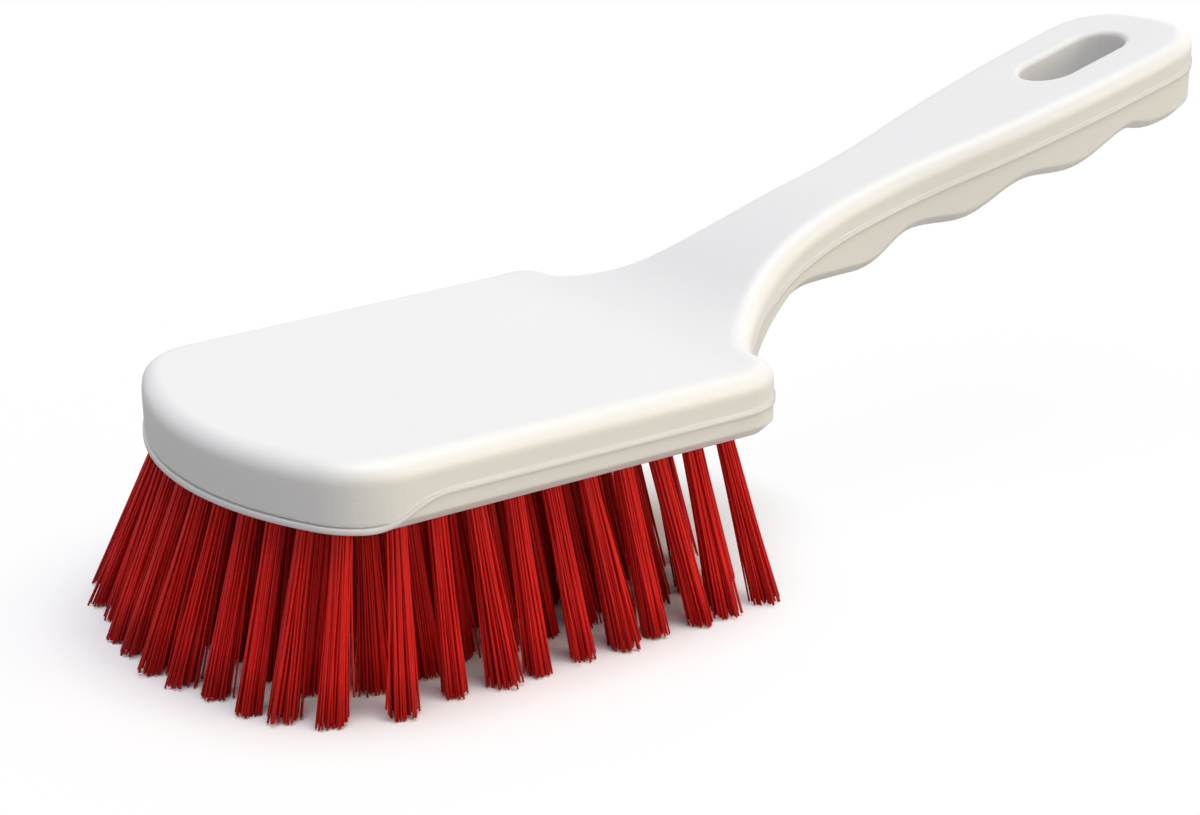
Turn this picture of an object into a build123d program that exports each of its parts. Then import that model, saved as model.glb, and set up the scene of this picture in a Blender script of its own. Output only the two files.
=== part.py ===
"""Scrub brush: a moulded one-piece block and handle, drilled for splayed tufts held by wire anchors.

Millimetres, +X from the nose to the handle's end, +Y across, +Z up. The brush stands on its
bristle tips at z = 0, with the origin under the middle of its bounding box.
"""

import os
from math import asin, atan2, cos, degrees, hypot, radians, sin, sqrt, tan

from build123d import *

# Block, seen from above
brush_length = 252.5
block_length = 104.5
nose_crown_radius = 66.0
nose_corner_radius = 15.0
nose_half_width = 40.3
rear_half_width = 42.8
rear_corner_radius = 8.0

# Neck and grip, seen from above
neck_half_width = 11.2
neck_radius = 130.0
neck_turn = 8.0
shoulder_radius = 9.0
shoulder_turn = 38.0
grip_half_width = 18.8
end_corner_radius = 14.0
end_crown_radius = 60.0

# Block and handle, seen from the side
trim_height = 33.7
block_thickness = 12.5
level_behind = 12.5
rise_run = 25.0
ease_run = 33.0
rise_angle = 28.0
handle_angle = 14.1
handle_thickness = 15.3
ramp_start = 5.5
ramp_radius = 30.0
ramp_angle = 29.0
first_wave = 46.0
wave_pitch = 29.7
wave_count = 3
wave_height = 1.4
knee_radius = 16.0

# Softened edges and the parting bead
top_round = 3.6
under_bevel = 2.0
bead_drop = 7.3
bead_width = 0.9
bead_stand = 0.35
bead_root = 2.0
bead_lift = 0.4
bead_dip_start = 14.0
bead_dip_end = 30.0

# Hanging slot in the handle
slot_length = 28.0
slot_width = 13.0
slot_from_end = 27.3
slot_round = 1.2

# Tuft holes and rows
hole_sides = 6
hole_radius = 2.3
hole_depth = 8.0
hole_inset = 4.6
hole_clearance = 0.05
ring_gap = 8.0
front_count = 11
second_count = 6
straight_rows = 10
tufts_across = 8
front_span = 67.0
second_span = 42.0
last_row_inset = 12.5

# How far the tips stand out from their roots
front_lean = 11.5
second_lean = 7.0
first_straight_lean = -2.5
rear_lean = 6.5
side_lean = 5.5

# Strands of one tuft
strand_count = 4
strand_width = 1.2
strand_sink = 1.0
root_fan = 1.2
tip_fan = 2.5

# Wire anchors, which hold each folded tuft at the bottom of its hole
anchor_thickness = 0.4
anchor_height = 1.8
anchor_clearance = 0.05
fold_thickness = 1.0

cut_overrun = 3.0

underside = trim_height
block_top = underside + block_thickness


# The front tuft's outer strand reaches furthest forward, where its outer edge meets the floor
front_turn = atan2(front_lean, trim_height)
fan_turn = atan2(tip_fan - root_fan, hypot(front_lean, trim_height) + strand_sink)
edge_out = root_fan * cos(front_turn) - strand_sink * sin(front_turn)
edge_out += strand_width / 2 * cos(front_turn + fan_turn)
edge_up = trim_height + root_fan * sin(front_turn) + strand_sink * cos(front_turn)
edge_up += strand_width / 2 * sin(front_turn + fan_turn)
front_reach = edge_out + edge_up * tan(front_turn + fan_turn) - hole_inset

nose_x = (front_reach - brush_length - bead_stand) / 2
plan = Plane((nose_x, 0, 0))
side = Plane((nose_x, 0, 0), x_dir=(1, 0, 0), z_dir=(0, -1, 0))

# The nose is a shallow crown between two corner arcs, and the side runs from there to the rear corner
nose_centre_y = nose_half_width - nose_corner_radius
crown_turn = asin(nose_centre_y / (nose_crown_radius - nose_corner_radius))
nose_centre_x = nose_crown_radius - (nose_crown_radius - nose_corner_radius) * cos(crown_turn)
rear_reach = hypot(block_length - nose_centre_x, rear_half_width - nose_centre_y)
rear_bearing = atan2(rear_half_width - nose_centre_y, block_length - nose_centre_x)
side_turn = rear_bearing - asin(nose_corner_radius / rear_reach)
side_length = rear_reach * cos(rear_bearing - side_turn)
side_length -= rear_corner_radius * tan((radians(90) + side_turn) / 2)

# The handle's end is two corner arcs that run into a shallow crown
end_centre_y = grip_half_width - end_corner_radius
end_reach = sqrt((end_crown_radius - end_corner_radius) ** 2 - end_centre_y**2)
end_centre_x = brush_length - end_crown_radius + end_reach
end_turn = 90 - degrees(atan2(end_centre_y, end_reach))

# From the rear corner the side turns through three arcs into the neck, then flares to the grip
rear_back = rear_corner_radius * (1 + sin(side_turn))
shoulder_heading, neck_heading = radians(90 - shoulder_turn), radians(neck_turn)
drop = rear_half_width - rear_back * tan(side_turn) - rear_corner_radius * cos(side_turn)
drop -= neck_half_width + shoulder_radius * cos(shoulder_heading)
drop -= neck_radius * (1 - cos(neck_heading))
sweep_radius = drop / (cos(neck_heading) - cos(shoulder_heading))
neck_x = block_length + shoulder_radius * (1 - sin(shoulder_heading))
neck_x += sweep_radius * (sin(shoulder_heading) - sin(neck_heading))
neck_x += neck_radius * sin(neck_heading)
flare = 2 * atan2(grip_half_width - neck_half_width, end_centre_x - neck_x)
grip_radius = (end_centre_x - neck_x) / sin(flare) - neck_radius


def outline_lines(grow):
    """Outline from above, grown outward: nose, side, rear corner, sweep into the neck, grip and end."""
    crown = JernArc((-grow, 0), (0, 1), nose_crown_radius + grow, -degrees(crown_turn))
    nose_corner = JernArc(
        crown @ 1,
        crown % 1,
        nose_corner_radius + grow,
        degrees(crown_turn + side_turn) - 90,
    )
    flank = PolarLine(nose_corner @ 1, side_length, direction=nose_corner % 1)
    corner = JernArc(flank @ 1, flank % 1, rear_corner_radius + grow, -90 - degrees(side_turn))
    shoulder = JernArc(corner @ 1, corner % 1, shoulder_radius - grow, shoulder_turn)
    sweep_turn = 90 - shoulder_turn - neck_turn
    sweep_in = JernArc(shoulder @ 1, shoulder % 1, sweep_radius - grow, sweep_turn)
    neck = JernArc(sweep_in @ 1, sweep_in % 1, neck_radius - grow, neck_turn + degrees(flare))
    grip = JernArc(neck @ 1, neck % 1, grip_radius + grow, -degrees(flare))
    end_corner = JernArc(grip @ 1, grip % 1, end_corner_radius + grow, -end_turn)
    JernArc(end_corner @ 1, end_corner % 1, end_crown_radius + grow, end_turn - 90)
    mirror(about=Plane.XZ)


with BuildSketch(plan) as outline:
    with BuildLine():
        outline_lines(0)
    make_face()

rise_radius = rise_run / sin(radians(rise_angle))
ease_radius = ease_run / (sin(radians(rise_angle)) - sin(radians(handle_angle)))
ease_end_x = block_length - level_behind + rise_run + ease_run
ease_end_rise = rise_radius * (1 - cos(radians(rise_angle))) + ease_radius * (
    cos(radians(handle_angle)) - cos(radians(rise_angle))
)
slope = tan(radians(handle_angle))


def crown_line(start, height):
    """Level over the block, up the neck and straight along the handle, from a start point."""
    level = Line((start, height), (block_length - level_behind, height))
    rise = JernArc(level @ 1, (1, 0), rise_radius, rise_angle)
    ease = JernArc(rise @ 1, rise % 1, ease_radius, handle_angle - rise_angle)
    run_out = (brush_length + cut_overrun - ease_end_x) / cos(radians(handle_angle))
    return PolarLine(ease @ 1, run_out, direction=ease % 1)


def handle_height(x):
    """Height of the handle's straight top at a distance from the nose."""
    return block_top + ease_end_rise + (x - ease_end_x) * slope


wave_points = []
for turn in range(2 * wave_count + 1):
    wave_x = block_length + first_wave + turn * wave_pitch / 2
    swell = wave_height if turn % 2 == 0 else -wave_height
    wave_points.append((wave_x, handle_height(wave_x) - handle_thickness - swell))

with BuildSketch(side) as profile:
    with BuildLine():
        top_end = crown_line(-cut_overrun, block_top) @ 1
        waves = Spline(
            *wave_points, tangents=((1, 0), (cos(radians(handle_angle)), sin(radians(handle_angle))))
        )
        Line(waves @ 1, (top_end.X, handle_height(top_end.X) - handle_thickness - wave_height))
        Line(
            (top_end.X, handle_height(top_end.X) - handle_thickness - wave_height), top_end
        )
        base = Line((-cut_overrun, underside), (block_length - ramp_start, underside))
        foot = JernArc(base @ 1, (1, 0), ramp_radius, ramp_angle)
        knee_tangent = knee_radius * tan(radians(ramp_angle) / 2)
        knee_rise = wave_points[0][1] - (foot @ 1).Y
        knee_x = (foot @ 1).X + knee_rise / tan(radians(ramp_angle))
        ramp = Line(
            foot @ 1,
            (
                knee_x - knee_tangent * cos(radians(ramp_angle)),
                wave_points[0][1] - knee_tangent * sin(radians(ramp_angle)),
            ),
        )
        knee = JernArc(ramp @ 1, ramp % 1, knee_radius, -ramp_angle)
        Line(knee @ 1, waves @ 0)
        Line(base @ 0, (-cut_overrun, block_top))
    make_face()

# The bead follows the top line down both sides and dips to the bottom edge round the nose
with BuildSketch(side) as bead_band:
    with BuildLine():
        lower = block_top - bead_drop - bead_width / 2
        for lift in (0, bead_width):
            dip = Spline(
                (bead_dip_start, underside + bead_lift + lift),
                (bead_dip_end, lower + lift),
                tangents=((1, 0), (1, 0)),
            )
            front = Line((-cut_overrun, underside + bead_lift + lift), dip @ 0)
            last = crown_line(bead_dip_end, lower + lift)
            if lift == 0:
                starts, ends = front @ 0, last @ 1
        Line(starts, front @ 0)
        Line(ends, last @ 1)
    make_face()

with BuildPart() as bead:
    with BuildSketch(plan) as bead_outline:
        with BuildLine():
            outline_lines(bead_stand)
        make_face()
        with BuildLine():
            outline_lines(-bead_root)
        make_face(mode=Mode.SUBTRACT)
    extrude(amount=block_top + brush_length)
    extrude(bead_band.sketch, amount=rear_half_width + cut_overrun, both=True, mode=Mode.INTERSECT)

slot_x = nose_x + brush_length - slot_from_end
slot_plane = Plane((slot_x, 0, underside))


def tuft_plane(x, y, lean_x, lean_y):
    """Plane across a tuft at the mouth of its hole, its z axis pointing down along the tuft."""
    return Plane((nose_x + x, y, underside), x_dir=(1, 0, 0), z_dir=(lean_x, lean_y, -trim_height))


def ring_row(gap, span, count, lean):
    """Tufts evenly along a row that follows the nose at a gap inside it, leaning straight out from it."""
    crown_run = crown_turn * (nose_crown_radius - gap)
    planes = []
    for place in range(count):
        run = span * (place / (count - 1) - 1 / 2)
        past = max(0, abs(run) - crown_run)
        if past > 0:
            turn = crown_turn + past / (nose_corner_radius - gap)
            x = nose_centre_x - (nose_corner_radius - gap) * cos(turn)
            y = nose_centre_y + (nose_corner_radius - gap) * sin(turn)
        else:
            turn = abs(run) / (nose_crown_radius - gap)
            x = nose_crown_radius - (nose_crown_radius - gap) * cos(turn)
            y = (nose_crown_radius - gap) * sin(turn)
        hand = 1 if run > 0 else -1
        planes.append(tuft_plane(x, hand * y, -cos(turn) * lean, hand * sin(turn) * lean))
    return planes


def straight_row(share):
    """Tufts across the block at a share of the way from the first straight row to the last."""
    x = nose_centre_x + share * (block_length - last_row_inset - nose_centre_x)
    half = rear_half_width - (block_length - x) * tan(side_turn) - hole_inset
    lean_x = first_straight_lean + (rear_lean - first_straight_lean) * sqrt(share)
    planes = []
    for place in range(tufts_across):
        across = 2 * place / (tufts_across - 1) - 1
        planes.append(tuft_plane(x, across * half, lean_x, across * side_lean))
    return planes


rows = [
    ring_row(hole_inset, front_span, front_count, front_lean),
    ring_row(hole_inset + ring_gap, second_span, second_count, second_lean),
]
rows += [straight_row(row / (straight_rows - 1)) for row in range(straight_rows)]

with BuildPart() as block:
    with BuildSketch(plan):
        add(outline.sketch_local)
    extrude(amount=block_top + brush_length)
    extrude(profile.sketch, amount=rear_half_width + cut_overrun, both=True, mode=Mode.INTERSECT)
    top_faces = block.faces().filter_by(lambda face: face.normal_at().Z > 0.5)
    fillet(top_faces.edges().filter_by(Axis.Y, reverse=True), top_round)
    under_faces = block.faces().filter_by(lambda face: face.normal_at().Z < -0.5)
    chamfer(under_faces.edges().filter_by(Axis.Y, reverse=True), under_bevel)
    with BuildSketch(slot_plane):
        SlotOverall(slot_length, slot_width)
    extrude(amount=block_top + brush_length, mode=Mode.SUBTRACT)
    rims = block.edges(Select.LAST).filter_by(Axis.Z, reverse=True)
    fillet(rims.sort_by(Axis.Z)[-len(rims) // 2 :], slot_round)
    with BuildSketch(*[mouth.offset(cut_overrun) for row in rows for mouth in row]):
        RegularPolygon(hole_radius, hole_sides)
    extrude(amount=-(hole_depth + cut_overrun), mode=Mode.SUBTRACT)
    add(bead.part)
block.part.label = "block_and_handle"


def strand(mouth, turn):
    """One four-sided strand from inside the root plug out past the floor."""
    length = -trim_height / mouth.z_dir.Z
    root = mouth.from_local_coords((root_fan * cos(turn), root_fan * sin(turn), -strand_sink))
    tip = mouth.from_local_coords((tip_fan * cos(turn), tip_fan * sin(turn), length))
    with BuildPart(mode=Mode.PRIVATE) as single:
        with BuildSketch(Plane(root, x_dir=mouth.x_dir, z_dir=tip - root)):
            Rectangle(strand_width, strand_width)
        extrude(amount=length + cut_overrun)
    return single.part


os.makedirs("parts", exist_ok=True)
export_step(block.part, "parts/block_and_handle.step")

window_height = anchor_height + 2 * anchor_clearance
window_width = anchor_thickness + 2 * anchor_clearance
for number, row in enumerate(rows, start=1):
    with BuildPart() as tufts:
        for mouth in row:
            with BuildSketch(mouth):
                RegularPolygon(hole_radius - hole_clearance, hole_sides)
            extrude(amount=-(hole_depth - hole_clearance))
            window_plane = mouth.offset(fold_thickness + window_height - hole_depth)
            with BuildSketch(window_plane):
                Rectangle(window_width, 2 * hole_radius)
            extrude(amount=-window_height, mode=Mode.SUBTRACT)
        strands = [
            strand(mouth, radians(360 * turn / strand_count))
            for mouth in row
            for turn in range(strand_count)
        ]
        add(strands)
        split(bisect_by=Plane.XY, keep=Keep.TOP)
    tufts.part.label = f"tufts_row_{number:02d}"
    export_step(tufts.part, f"parts/tufts_row_{number:02d}.step")

    with BuildPart() as anchors:
        for mouth in row:
            anchor_plane = mouth.offset(
                fold_thickness + anchor_clearance + anchor_height - hole_depth
            )
            with BuildSketch(anchor_plane):
                Rectangle(anchor_thickness, 2 * (hole_radius - hole_clearance))
            extrude(amount=-anchor_height)
    anchors.part.label = f"anchors_row_{number:02d}"
    export_step(anchors.part, f"parts/anchors_row_{number:02d}.step")
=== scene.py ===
"""Scrub brush: dresses the moulded block and handle, and makes its splayed tufts filament by filament.

Metres, in the part's own frame: +X from the nose to the handle's end, +Y across, +Z up, tips at z = 0.
"""

import math
import random

import bmesh
import bpy
from mathutils import Matrix, Vector


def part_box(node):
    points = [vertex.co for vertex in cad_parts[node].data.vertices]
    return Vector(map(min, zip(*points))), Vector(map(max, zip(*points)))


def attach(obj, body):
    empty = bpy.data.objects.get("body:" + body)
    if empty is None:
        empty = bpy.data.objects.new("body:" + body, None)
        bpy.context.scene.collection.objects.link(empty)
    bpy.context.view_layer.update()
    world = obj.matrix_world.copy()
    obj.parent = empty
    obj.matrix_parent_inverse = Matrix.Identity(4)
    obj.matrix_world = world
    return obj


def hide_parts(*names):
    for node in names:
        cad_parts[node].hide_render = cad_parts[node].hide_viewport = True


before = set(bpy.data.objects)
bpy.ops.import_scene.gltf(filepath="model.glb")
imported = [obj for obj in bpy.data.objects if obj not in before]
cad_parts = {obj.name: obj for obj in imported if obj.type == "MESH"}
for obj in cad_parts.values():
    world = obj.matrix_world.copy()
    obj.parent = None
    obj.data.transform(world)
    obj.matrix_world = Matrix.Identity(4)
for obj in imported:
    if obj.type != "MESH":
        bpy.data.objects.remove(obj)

bl_info = {
    "name": "Scrub brush",
    "version": (1, 0, 0),
    "blender": (4, 5, 0),
    "location": "3D View > Sidebar > Brush",
    "description": "Moulded block with its handle, filament tufts, wire anchors and a plain studio",
    "category": "Object",
}

MM = 0.001
BLOCK = "block_and_handle"
TUFT_ROWS = sorted(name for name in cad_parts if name.startswith("tufts_row_"))
ANCHOR_ROWS = sorted(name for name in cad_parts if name.startswith("anchors_row_"))

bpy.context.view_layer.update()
block_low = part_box(BLOCK)[0]
underside = block_low.z

# The bead stands this far proud of the moulding, at the nose too
bead_stand = 0.35 * MM
nose_x = block_low.x + bead_stand

# Sockets by number where their names repeat: Map Range's value, range and new range, then Mix's share,
# its two colours and their mixture
VALUE, LOW, HIGH, NEW_LOW, NEW_HIGH = range(5)
SHARE, FIRST, SECOND, MIXED = 0, 6, 7, 2


def linear(colour):
    """An sRGB hex colour as linear red, green and blue."""
    shares = [int(colour[place : place + 2], 16) / 255 for place in (1, 3, 5)]
    return [s / 12.92 if s <= 0.04045 else ((s + 0.055) / 1.055) ** 2.4 for s in shares]


def put(tree, kind, sockets=None, **settings):
    """Adds a node, sets its properties, and fills its sockets with values or links."""
    made = tree.nodes.new(kind)
    for name, value in settings.items():
        setattr(made, name, value)
    for name, value in (sockets or {}).items():
        if isinstance(value, bpy.types.NodeSocket):
            tree.links.new(value, made.inputs[name])
        else:
            made.inputs[name].default_value = value
    return made


def new_material(name):
    """An empty node material and the place for its shader."""
    material = bpy.data.materials.new(name)
    material.use_nodes = True
    material.node_tree.nodes.clear()
    return material, material.node_tree


class MouldingSettings(bpy.types.PropertyGroup):
    """Finish of the white moulding"""

    colour: bpy.props.FloatVectorProperty(
        name="Colour",
        description="Colour of the white moulding",
        subtype="COLOR",
        size=3,
        min=0,
        max=1,
        default=linear("#F0F0F0"),
    )
    grain: bpy.props.FloatProperty(
        name="Mould grain",
        description="Distance between the crests of the fine mould texture",
        default=0.5 * MM,
        unit="LENGTH",
    )
    speck: bpy.props.FloatProperty(
        name="Speck spacing",
        description="Spacing of the cells in which an odd dust speck shows",
        default=2.4 * MM,
        unit="LENGTH",
    )
    softness: bpy.props.FloatProperty(
        name="Edge softness",
        description="Radius to which light sees the moulding's small edges rounded",
        default=0.8 * MM,
        unit="LENGTH",
    )


class FilamentSettings(bpy.types.PropertyGroup):
    """Filaments of the tufts"""

    colour: bpy.props.FloatVectorProperty(
        name="Colour",
        description="Colour of the red filament",
        subtype="COLOR",
        size=3,
        min=0,
        max=1,
        default=linear("#E81B17"),
    )
    thickness: bpy.props.FloatProperty(
        name="Thickness",
        description="Thickness of one filament",
        default=0.4 * MM,
        unit="LENGTH",
    )
    hairpins: bpy.props.IntProperty(
        name="Folded filaments",
        description="Filaments folded over the anchor of one tuft, each of which gives two ends",
        default=40,
        min=4,
    )
    fan: bpy.props.FloatProperty(
        name="Tip fan",
        description="How far the outer filaments of a tuft stand from its axis at the tips",
        default=2.6 * MM,
        unit="LENGTH",
    )
    unevenness: bpy.props.FloatProperty(
        name="Uneven trim",
        description="How much the ends differ in height",
        default=1.1 * MM,
        unit="LENGTH",
    )
    seed: bpy.props.IntProperty(
        name="Seed",
        description="Start of the random scatter of the filaments",
        default=7,
    )


class StudioSettings(bpy.types.PropertyGroup):
    """Floor, light and camera"""

    floor_size: bpy.props.FloatProperty(
        name="Floor size",
        description="Side of the square floor",
        default=8.0,
        unit="LENGTH",
    )
    key: bpy.props.FloatProperty(
        name="Top light",
        description="Strength of the wide light overhead",
        default=2.1,
    )
    side: bpy.props.FloatProperty(
        name="Side light",
        description="Strength of the warm light from the near side",
        default=1.35,
    )
    warmth: bpy.props.FloatVectorProperty(
        name="Side light colour",
        description="Colour of the light from the near side",
        subtype="COLOR",
        size=3,
        min=0,
        max=1,
        default=linear("#FFEFC4"),
    )
    sky: bpy.props.FloatProperty(
        name="Surround",
        description="Strength of the even light from all round",
        default=0.28,
    )
    lens: bpy.props.FloatProperty(
        name="Focal length",
        description="Camera's focal length on a 36 mm sensor",
        default=65.74,
        unit="CAMERA",
    )


# A noise keeps nearly all of its values between these
NOISE_LOW, NOISE_HIGH = 0.3, 0.7

# The moulding's finish: a slow drift over 35 mm, specks in a quarter of the cells, low crests of grain
DRIFT = 35 * MM
WARM_TONE = (0.985, 0.982, 0.975)
SPECK_EDGE = (0.035, 0.06)
SPECK_CELLS = (0.72, 0.74)
SPECK_SHARE = 0.45
GRAIN_HEIGHT = 0.02 * MM
GRAIN_STRENGTH = 0.12
SCATTER_DEPTH = 4 * MM
MOULDING_GLOSS = (0.36, 0.44)


def moulded_polypropylene(settings):
    """Injection-moulded polypropylene: satin white, a touch translucent, with fine grain and odd specks."""
    material, tree = new_material("moulded_polypropylene")
    place = put(tree, "ShaderNodeTexCoord").outputs["Object"]

    # A slow drift in whiteness, as the melt cools unevenly along a thick moulding
    drift = put(tree, "ShaderNodeTexNoise", {"Vector": place, "Scale": 1 / DRIFT, "Detail": 2.0})
    warm = [share * tone for share, tone in zip(settings.colour, WARM_TONE)]
    white = put(
        tree,
        "ShaderNodeMix",
        {SHARE: drift.outputs["Fac"], FIRST: (*settings.colour, 1), SECOND: (*warm, 1)},
        data_type="RGBA",
    ).outputs[MIXED]

    # Odd grey specks a fifth of a millimetre wide, only in some cells
    cells = put(
        tree, "ShaderNodeTexVoronoi", {"Vector": place, "Scale": 1 / settings.speck, "Randomness": 1.0}
    )
    chosen = put(tree, "ShaderNodeSeparateColor", {"Color": cells.outputs["Color"]}).outputs[0]
    distance = cells.outputs["Distance"]
    near = put(
        tree,
        "ShaderNodeMapRange",
        {VALUE: distance, LOW: SPECK_EDGE[0], HIGH: SPECK_EDGE[1], NEW_LOW: 1.0, NEW_HIGH: 0.0},
    )
    picked = put(
        tree,
        "ShaderNodeMapRange",
        {VALUE: chosen, LOW: SPECK_CELLS[0], HIGH: SPECK_CELLS[1], NEW_LOW: 0.0, NEW_HIGH: SPECK_SHARE},
    )
    specks = put(
        tree, "ShaderNodeMath", {0: near.outputs[0], 1: picked.outputs[0]}, operation="MULTIPLY"
    )
    colour = put(
        tree,
        "ShaderNodeMix",
        {SHARE: specks.outputs[0], FIRST: white, SECOND: (*linear("#8E8A80"), 1)},
        data_type="RGBA",
    ).outputs[MIXED]

    # Mould grain: shallow crests half a millimetre apart, seen as a satin sheen
    grain = put(
        tree, "ShaderNodeTexNoise", {"Vector": place, "Scale": 1 / settings.grain, "Detail": 3.0}
    ).outputs["Fac"]
    soft = put(tree, "ShaderNodeBevel", {"Radius": settings.softness}, samples=8)
    bump = put(
        tree,
        "ShaderNodeBump",
        {
            "Height": grain,
            "Strength": GRAIN_STRENGTH,
            "Distance": GRAIN_HEIGHT,
            "Normal": soft.outputs[0],
        },
    )
    gloss = put(
        tree,
        "ShaderNodeMapRange",
        {
            VALUE: drift.outputs["Fac"],
            LOW: NOISE_LOW,
            HIGH: NOISE_HIGH,
            NEW_LOW: MOULDING_GLOSS[0],
            NEW_HIGH: MOULDING_GLOSS[1],
        },
    )

    shader = put(
        tree,
        "ShaderNodeBsdfPrincipled",
        {
            "Base Color": colour,
            "Roughness": gloss.outputs[0],
            "IOR": 1.49,
            "Normal": bump.outputs[0],
            "Subsurface Weight": 0.3,
            "Subsurface Radius": (1.0, 0.92, 0.75),
            "Subsurface Scale": SCATTER_DEPTH,
        },
    )
    put(tree, "ShaderNodeOutputMaterial", {"Surface": shader.outputs[0]})
    return material


# The filament's finish: its darkest strand's tone, and the size and share of its draw marks
DARK_TONE = (0.84, 0.9, 0.9)
DRAW_MARKS = 1.5 * MM
MARK_SHARE = 0.12
FILAMENT_GLOSS = (0.34, 0.46)

# The wire's draw lines: how far apart and how long they are
WIRE_LINES = 0.05 * MM
WIRE_RUN = 2 * MM
WIRE_GLOSS = (0.25, 0.4)


def extruded_filament(settings):
    """Extruded PBT filament: clear strong red, smooth and glossy, each strand a little different."""
    material, tree = new_material("extruded_pbt_filament")
    place = put(tree, "ShaderNodeTexCoord").outputs["Object"]
    strand = put(tree, "ShaderNodeNewGeometry").outputs["Random Per Island"]
    dark = [share * tone for share, tone in zip(settings.colour, DARK_TONE)]
    colour = put(
        tree,
        "ShaderNodeMix",
        {SHARE: strand, FIRST: (*dark, 1), SECOND: (*settings.colour, 1)},
        data_type="RGBA",
    ).outputs[MIXED]

    # Faint draw marks along the filament, drawn coarser than real so that they show
    marks = put(tree, "ShaderNodeTexNoise", {"Vector": place, "Scale": 1 / DRAW_MARKS, "Detail": 2.0})
    tint = put(
        tree,
        "ShaderNodeMapRange",
        {
            VALUE: marks.outputs["Fac"],
            LOW: NOISE_LOW,
            HIGH: NOISE_HIGH,
            NEW_LOW: 0.0,
            NEW_HIGH: MARK_SHARE,
        },
    )
    colour = put(
        tree,
        "ShaderNodeMix",
        {SHARE: tint.outputs[0], FIRST: colour, SECOND: (*linear("#8E1012"), 1)},
        data_type="RGBA",
    ).outputs[MIXED]
    gloss = put(
        tree,
        "ShaderNodeMapRange",
        {
            VALUE: marks.outputs["Fac"],
            LOW: NOISE_LOW,
            HIGH: NOISE_HIGH,
            NEW_LOW: FILAMENT_GLOSS[0],
            NEW_HIGH: FILAMENT_GLOSS[1],
        },
    )
    shader = put(
        tree,
        "ShaderNodeBsdfPrincipled",
        {
            "Base Color": colour,
            "Roughness": gloss.outputs[0],
            "IOR": 1.55,
            "Specular IOR Level": 0.25,
        },
    )
    put(tree, "ShaderNodeOutputMaterial", {"Surface": shader.outputs[0]})
    return material


def drawn_steel_wire():
    """Flat drawn steel wire: bright with long fine draw lines."""
    material, tree = new_material("drawn_steel_wire")
    place = put(tree, "ShaderNodeTexCoord").outputs["Object"]
    stretch = (1 / WIRE_LINES, 1 / WIRE_RUN, 1 / WIRE_LINES)
    along = put(tree, "ShaderNodeMapping", {"Vector": place, "Scale": stretch})
    lines = put(tree, "ShaderNodeTexNoise", {"Vector": along.outputs[0], "Scale": 1.0, "Detail": 2.0})
    colour = put(
        tree,
        "ShaderNodeMix",
        {
            SHARE: lines.outputs["Fac"],
            FIRST: (*linear("#A9A7A2"), 1),
            SECOND: (*linear("#C9C7C2"), 1),
        },
        data_type="RGBA",
    )
    gloss = put(
        tree,
        "ShaderNodeMapRange",
        {
            VALUE: lines.outputs["Fac"],
            LOW: NOISE_LOW,
            HIGH: NOISE_HIGH,
            NEW_LOW: WIRE_GLOSS[0],
            NEW_HIGH: WIRE_GLOSS[1],
        },
    )
    shader = put(
        tree,
        "ShaderNodeBsdfPrincipled",
        {"Base Color": colour.outputs[MIXED], "Roughness": gloss.outputs[0], "Metallic": 1.0},
    )
    put(tree, "ShaderNodeOutputMaterial", {"Surface": shader.outputs[0]})
    return material


def dress(node_name, material):
    """Gives a CAD node's slots one finish."""
    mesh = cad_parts[node_name].data
    if not mesh.materials:
        mesh.materials.append(material)
    for place in range(len(mesh.materials)):
        mesh.materials[place] = material


# A CAD tuft's corners this far above the underside are its root's, and this near the floor its tips'
ROOT_ABOVE = 3 * MM
TIP_WITHIN = 0.5 * MM
SAME_CORNER = 0.001 * MM


def tuft_axes(node_name):
    """Root at the block's underside and tip on the floor of each tuft in a row's CAD solids."""
    work = bmesh.new()
    work.from_mesh(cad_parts[node_name].data)
    bmesh.ops.remove_doubles(work, verts=work.verts, dist=SAME_CORNER)
    reached = set()
    axes = []
    for start in work.verts:
        if start in reached:
            continue
        reached.add(start)
        stack, solid = [start], []
        while stack:
            corner = stack.pop()
            solid.append(corner.co.copy())
            for edge in corner.link_edges:
                other = edge.other_vert(corner)
                if other not in reached:
                    reached.add(other)
                    stack.append(other)
        inside = [co for co in solid if co.z > underside + ROOT_ABOVE]
        tips = [co for co in solid if co.z < TIP_WITHIN]
        if not inside or not tips:
            raise RuntimeError(f"{node_name} holds a solid with no root or no tip")
        deep = sum(inside, Vector()) / len(inside)
        tip = sum(tips, Vector()) / len(tips)
        share = (deep.z - underside) / (deep.z - tip.z)
        axes.append((deep.lerp(tip, share), tip))
    work.free()
    return sorted(axes, key=lambda pair: pair[0].y)


# Corners round one filament
SIDES = 5


def tube(verts, faces, path, radius):
    """Adds a closed tube round a path to lists of corners and faces."""
    start = len(verts)
    heading = (path[1] - path[0]).normalized()
    across = heading.orthogonal().normalized()
    for place, point in enumerate(path):
        before, after = path[max(place - 1, 0)], path[min(place + 1, len(path) - 1)]
        heading = (after - before).normalized()
        across = (across - heading * across.dot(heading)).normalized()
        other = heading.cross(across)
        for side in range(SIDES):
            turn = 2 * math.pi * side / SIDES
            verts.append(point + (across * math.cos(turn) + other * math.sin(turn)) * radius)
    for place in range(len(path) - 1):
        ring = start + place * SIDES
        for side in range(SIDES):
            beside = (side + 1) % SIDES
            faces.append((ring + side, ring + beside, ring + SIDES + beside, ring + SIDES + side))
    faces.append(tuple(start + side for side in reversed(range(SIDES))))
    last = start + (len(path) - 1) * SIDES
    faces.append(tuple(last + side for side in range(SIDES)))


# Where a tuft's folded filaments lie in their hole, in millimetres
ROOT_RADIUS = 1.7
ANCHOR_HALF = 0.5
FOLD_DEPTH = 7.3
LEG_DEPTH = 5.6

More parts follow.
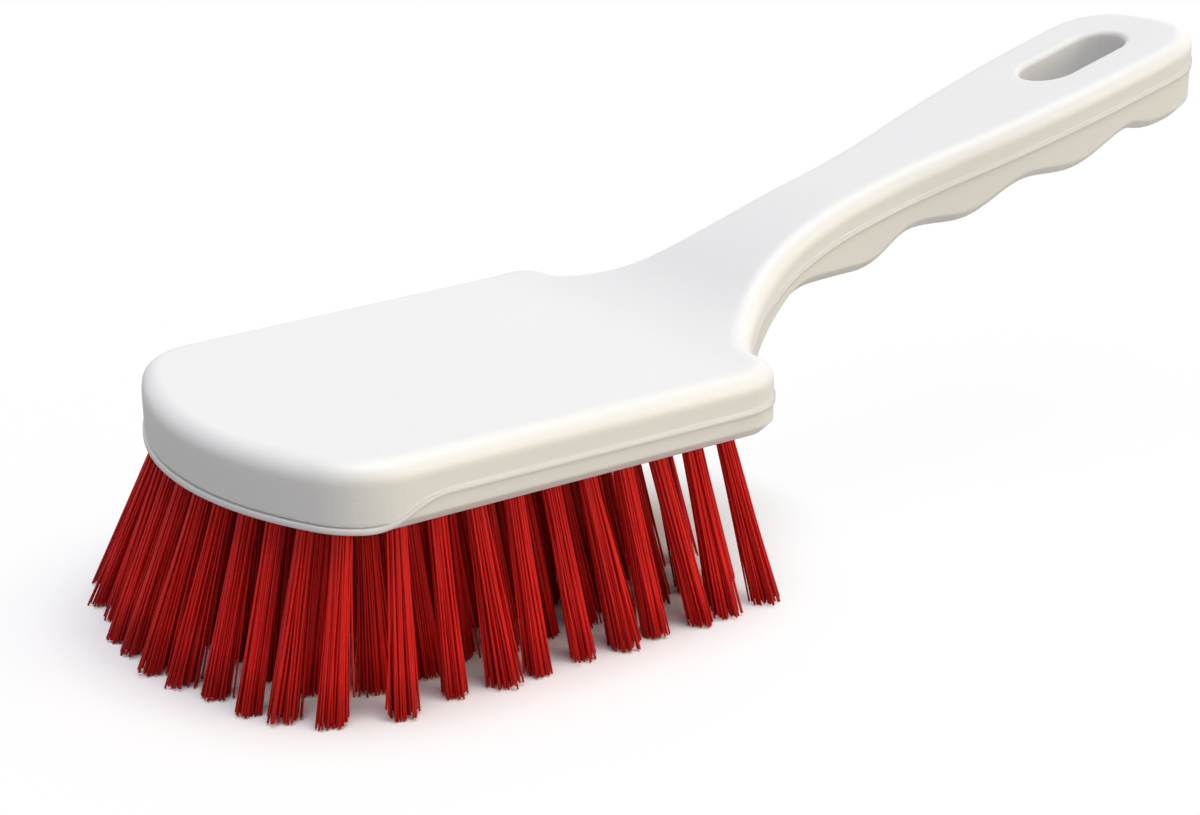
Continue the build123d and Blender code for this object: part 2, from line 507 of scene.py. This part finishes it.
# Steps down one leg, and the power of the way down by which a tuft opens out
LEG_STEPS = 4
OPENING = 1.15

# Scatter of the filaments: spreads in millimetres, and ranges that multiply a value
TUFT_LEAN = 0.7
TUFT_FAN = (0.7, 1.15)
ROOT_SCATTER = 0.08
TIP_SCATTER = 0.3
TIP_FAN = (0.8, 1.15)
BOW = 0.25
THICKNESS_RANGE = (0.94, 1.06)

# Every end stops at least this far above the floor, in millimetres, and more by the uneven trim
LEAST_CUT = 0.12
CUT_SHARE = 0.45

# One end in fifty is loose and strays further; the second leg crosses to the other side of the hole
LOOSE_CHANCE = 0.02
LOOSE_STRAY = 3.5
CROSSED = -0.9


def leg_points(root, reach, across, along, spot, tip, bow, drop):
    """Points down one leg of a folded filament, from the hole's mouth to its cut end near the floor."""
    points = []
    for step in range(1, LEG_STEPS + 1):
        share = step / LEG_STEPS
        open_out = share**OPENING
        place = root + reach * share
        place += across * (spot[0] * (1 - open_out) + tip[0] * open_out)
        place += along * (spot[1] * (1 - open_out) + tip[1] * open_out)
        points.append(place + bow * math.sin(math.pi * share * 0.5) ** 2 * share)
    # The end is cut where the filament comes down to its own trim height
    high, low = points[-2], points[-1]
    share = (high.z - drop) / (high.z - low.z)
    points[-1] = high.lerp(low, share)
    return points


# The front tufts have set in use: further out on the far side than on the near side
NOSE_SET = 0.3
FAR_SET = 6.0
NEAR_SET = -4.0


def front_tip(root, tip):
    """Tip of a front tuft once it has set in use."""
    out = Vector((tip.x - root.x, tip.y - root.y, 0)).normalized()
    return tip + out * max(NOSE_SET + FAR_SET * out.y, NEAR_SET) * MM


def make_tuft(verts, faces, root, tip, settings, dice):
    """Adds one tuft: filaments folded over the anchor, both legs fanning out to the trim."""
    axis = (tip - root).normalized()
    across = (Vector((1, 0, 0)) - axis * axis.x).normalized()
    along = axis.cross(across)
    lean = Vector((dice.gauss(0, TUFT_LEAN), dice.gauss(0, TUFT_LEAN), 0)) * MM
    reach = tip + lean - root
    radius = settings.thickness / 2
    golden = math.pi * (3 - math.sqrt(5))
    fan = settings.fan / (ROOT_RADIUS * MM) * dice.uniform(*TUFT_FAN)
    count = settings.hairpins
    for place in range(count):
        # Even spots over half of the hole; the other leg takes the mirrored spot
        depth = math.sqrt((place + 0.5) / count) * ROOT_RADIUS * MM
        turn = place * golden
        first = (abs(math.cos(turn)) * depth, math.sin(turn) * depth)
        legs = []
        for hand in (1, -1):
            jitter = (dice.gauss(0, ROOT_SCATTER) * MM, dice.gauss(0, ROOT_SCATTER) * MM)
            spot = (hand * first[0] + jitter[0], first[1] * (1 if hand > 0 else CROSSED) + jitter[1])
            loose = LOOSE_STRAY if dice.random() < LOOSE_CHANCE else 1.0
            end = [
                value * fan * dice.uniform(*TIP_FAN) + dice.gauss(0, TIP_SCATTER) * MM * loose
                for value in spot
            ]
            bow = Vector((dice.gauss(0, BOW), dice.gauss(0, BOW), 0)) * MM * loose
            drop = LEAST_CUT * MM + abs(dice.gauss(0, CUT_SHARE)) * settings.unevenness * loose
            legs.append((spot, leg_points(root, reach, across, along, spot, end, bow, drop)))
        (spot_a, out_a), (spot_b, out_b) = legs
        wide = max(abs(spot_a[0]), ANCHOR_HALF * MM)
        path = list(reversed(out_a))
        path.append(root + across * spot_a[0] + along * spot_a[1])
        path.append(root - axis * LEG_DEPTH * MM + across * wide + along * spot_a[1])
        path.append(root - axis * FOLD_DEPTH * MM + along * (spot_a[1] + spot_b[1]) / 2)
        path.append(root - axis * LEG_DEPTH * MM - across * wide + along * spot_b[1])
        path.append(root + across * spot_b[0] + along * spot_b[1])
        path.extend(out_b)
        tube(verts, faces, path, radius * dice.uniform(*THICKNESS_RANGE))


class BRUSH_OT_moulding(bpy.types.Operator):
    """Gives the moulded block and handle its finish"""

    bl_idname = "brush.moulding"
    bl_label = "Block and handle"

    def execute(self, context):
        dress(BLOCK, moulded_polypropylene(context.scene.brush_moulding))
        return {"FINISHED"}


class BRUSH_OT_tufts(bpy.types.Operator):
    """Makes every row of tufts from separate folded filaments"""

    bl_idname = "brush.tufts"
    bl_label = "Tufts"

    def execute(self, context):
        settings = context.scene.brush_filaments
        material = extruded_filament(settings)
        dice = random.Random(settings.seed)
        for row_name in TUFT_ROWS:
            verts, faces = [], []
            for root, tip in tuft_axes(row_name):
                if row_name == TUFT_ROWS[0]:
                    tip = front_tip(root, tip)
                make_tuft(verts, faces, root, tip, settings, dice)
            mesh = bpy.data.meshes.new(f"{row_name}_filaments")
            mesh.from_pydata(verts, [], faces)
            mesh.polygons.foreach_set("use_smooth", [len(face) == 4 for face in faces])
            mesh.materials.append(material)
            row = bpy.data.objects.new(f"{row_name}_filaments", mesh)
            bpy.context.collection.objects.link(row)
            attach(row, "root")
            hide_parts(row_name)
        return {"FINISHED"}


class BRUSH_OT_anchors(bpy.types.Operator):
    """Gives the wire anchors at the bottom of the holes their finish"""

    bl_idname = "brush.anchors"
    bl_label = "Wire anchors"

    def execute(self, context):
        material = drawn_steel_wire()
        for name in ANCHOR_ROWS:
            dress(name, material)
        return {"FINISHED"}


# Camera, from its fit to the photograph: view turned 36.8 degrees to the nose and 19.9 down
VIEW_TURN = 36.79
VIEW_DOWN = 19.94
VIEW_ROLL = -0.143
VIEW_DISTANCE = 438.67 * MM
VIEW_TARGET = (91.59 * MM, 0, 28.58 * MM)

# Towards the wide top light and the low warm light on the near side, and their apparent widths
KEY_TOWARDS = (0.06, -0.1, 0.99)
SIDE_TOWARDS = (0.5, -0.82, 0.26)
KEY_WIDTH = 50
SIDE_WIDTH = 40

# The top light is a touch cool, and the paper throws back less light than white, as a table would
KEY_COLOUR = "#F7F8FF"
PAPER_BOUNCE = "#B4B4B4"

# The floor's shadow is kept near the block: whole in an oval about its middle, with its centre and half
# sizes in millimetres from the nose; beyond the oval painted light, a white glow on the paper, fills the
# shadow in until it is almost gone at this many times the oval's size
SHADOW_CENTRE = 45
SHADOW_LENGTH = 60
SHADOW_WIDTH = 50
SHADOW_REACH = 1.6
GLOW_NEAR = 0.0
GLOW_FAR = 0.95


class BRUSH_OT_studio(bpy.types.Operator):
    """Sets the pale floor, the light and the camera"""

    bl_idname = "brush.studio"
    bl_label = "Studio"

    def execute(self, context):
        settings = context.scene.brush_studio
        self.floor(settings)
        self.light(context, settings)
        self.camera(context, settings)
        return {"FINISHED"}

    def floor(self, settings):
        half = settings.floor_size / 2
        mesh = bpy.data.meshes.new("floor")
        corners = [(-half, -half, 0), (half, -half, 0), (half, half, 0), (-half, half, 0)]
        mesh.from_pydata(corners, [], [(0, 1, 2, 3)])
        floor = bpy.data.objects.new("floor", mesh)
        bpy.context.collection.objects.link(floor)
        material, tree = new_material("white_paper_with_painted_glow")
        rays = put(tree, "ShaderNodeLightPath")
        # Seen by the camera the paper glows to white: painted light that fills in its cast shadow more with
        # distance from the block
        seen = rays.outputs["Is Camera Ray"]
        colour = put(
            tree,
            "ShaderNodeMix",
            {SHARE: seen, FIRST: (*linear(PAPER_BOUNCE), 1), SECOND: (*linear("#FFFFFF"), 1)},
            data_type="RGBA",
        )
        paper = put(tree, "ShaderNodeBsdfDiffuse", {"Color": colour.outputs[MIXED]})
        glow = put(tree, "ShaderNodeEmission", {"Color": (1, 1, 1, 1), "Strength": 1.0})
        place = put(tree, "ShaderNodeTexCoord").outputs["Object"]
        centre = (nose_x + SHADOW_CENTRE * MM, 0, 0)
        away = put(tree, "ShaderNodeVectorMath", {0: place, 1: centre}, operation="SUBTRACT")
        stretch = (1 / (SHADOW_LENGTH * MM), 1 / (SHADOW_WIDTH * MM), 0)
        away = put(tree, "ShaderNodeVectorMath", {0: away.outputs[0], 1: stretch}, operation="MULTIPLY")
        away = put(tree, "ShaderNodeVectorMath", {0: away.outputs[0]}, operation="LENGTH")
        fade = put(
            tree,
            "ShaderNodeMapRange",
            {
                VALUE: away.outputs["Value"],
                LOW: 1.0,
                HIGH: SHADOW_REACH,
                NEW_LOW: GLOW_NEAR,
                NEW_HIGH: GLOW_FAR,
            },
        )
        # Share of painted light, the white glow, that the camera sees in place of the shaded paper
        share = put(tree, "ShaderNodeMath", {0: seen, 1: fade.outputs[0]}, operation="MULTIPLY")
        both = put(
            tree, "ShaderNodeMixShader", {0: share.outputs[0], 1: paper.outputs[0], 2: glow.outputs[0]}
        )
        # From below the paper lets the eye through to the underside of the brush
        below = put(tree, "ShaderNodeNewGeometry").outputs["Backfacing"]
        clear = put(tree, "ShaderNodeBsdfTransparent")
        hidden = put(tree, "ShaderNodeMath", {0: seen, 1: below}, operation="MULTIPLY")
        both = put(
            tree, "ShaderNodeMixShader", {0: hidden.outputs[0], 1: both.outputs[0], 2: clear.outputs[0]}
        )
        put(tree, "ShaderNodeOutputMaterial", {"Surface": both.outputs[0]})
        mesh.materials.append(material)

    def light(self, context, settings):
        for name, strength, colour, towards, width in (
            ("top_light", settings.key, linear(KEY_COLOUR), KEY_TOWARDS, KEY_WIDTH),
            ("side_light", settings.side, settings.warmth, SIDE_TOWARDS, SIDE_WIDTH),
        ):
            sun = bpy.data.lights.new(name, "SUN")
            sun.energy = strength
            sun.color = colour
            sun.angle = math.radians(width)
            lamp = bpy.data.objects.new(name, sun)
            lamp.rotation_euler = Vector(towards).to_track_quat("Z", "Y").to_euler()
            bpy.context.collection.objects.link(lamp)

        world = bpy.data.worlds.new("studio")
        context.scene.world = world
        world.use_nodes = True
        tree = world.node_tree
        tree.nodes.clear()
        rays = put(tree, "ShaderNodeLightPath")
        seen = put(
            tree,
            "ShaderNodeMath",
            {0: rays.outputs["Is Camera Ray"], 1: rays.outputs["Is Glossy Ray"]},
            operation="ADD",
            use_clamp=True,
        )
        seen = put(
            tree,
            "ShaderNodeMath",
            {0: seen.outputs[0], 1: rays.outputs["Is Transmission Ray"]},
            operation="ADD",
            use_clamp=True,
        )
        # White where it is seen, mirrored or looked through, and weaker where it only lights
        strength = put(
            tree, "ShaderNodeMapRange", {VALUE: seen.outputs[0], NEW_LOW: settings.sky, NEW_HIGH: 1.0}
        )
        back = put(
            tree, "ShaderNodeBackground", {"Color": (1, 1, 1, 1), "Strength": strength.outputs[0]}
        )
        put(tree, "ShaderNodeOutputWorld", {"Surface": back.outputs[0]})

    def camera(self, context, settings):
        data = bpy.data.cameras.new("camera")
        data.lens = settings.lens
        data.clip_start = 10 * MM
        camera = bpy.data.objects.new("camera", data)
        bpy.context.collection.objects.link(camera)
        turn, down = math.radians(VIEW_TURN), math.radians(VIEW_DOWN)
        back = Vector(
            (-math.sin(turn) * math.cos(down), -math.cos(turn) * math.cos(down), math.sin(down))
        )
        target = Vector(VIEW_TARGET) + Vector((nose_x, 0, 0))
        camera.location = target + back * VIEW_DISTANCE
        aim = (-back).to_track_quat("-Z", "Y").to_matrix()
        camera.rotation_euler = (aim @ Matrix.Rotation(math.radians(VIEW_ROLL), 3, "Z")).to_euler()
        context.scene.camera = camera
        context.scene.view_settings.view_transform = "Standard"


class BRUSH_PT_panel(bpy.types.Panel):
    """Lists the brush's pieces and settings"""

    bl_idname = "BRUSH_PT_panel"
    bl_label = "Scrub brush"
    bl_space_type = "VIEW_3D"
    bl_region_type = "UI"
    bl_category = "Brush"

    def draw(self, context):
        for operator in OPERATORS:
            self.layout.operator(operator.bl_idname)
        for group_name in GROUPS:
            group = getattr(context.scene, group_name)
            box = self.layout.box()
            for name in group.__annotations__:
                box.prop(group, name)


GROUPS = {
    "brush_moulding": MouldingSettings,
    "brush_filaments": FilamentSettings,
    "brush_studio": StudioSettings,
}
OPERATORS = [BRUSH_OT_studio, BRUSH_OT_moulding, BRUSH_OT_tufts, BRUSH_OT_anchors]


def register():
    for group in GROUPS.values():
        bpy.utils.register_class(group)
    for name, group in GROUPS.items():
        setattr(bpy.types.Scene, name, bpy.props.PointerProperty(type=group))
    for operator in OPERATORS:
        bpy.utils.register_class(operator)
    bpy.utils.register_class(BRUSH_PT_panel)


def unregister():
    bpy.utils.unregister_class(BRUSH_PT_panel)
    for operator in reversed(OPERATORS):
        bpy.utils.unregister_class(operator)
    for name, group in GROUPS.items():
        delattr(bpy.types.Scene, name)
        bpy.utils.unregister_class(group)


def main():
    register()
    bpy.ops.brush.studio()
    bpy.ops.brush.moulding()
    bpy.ops.brush.tufts()
    bpy.ops.brush.anchors()


if __name__ == "__main__":
    main()
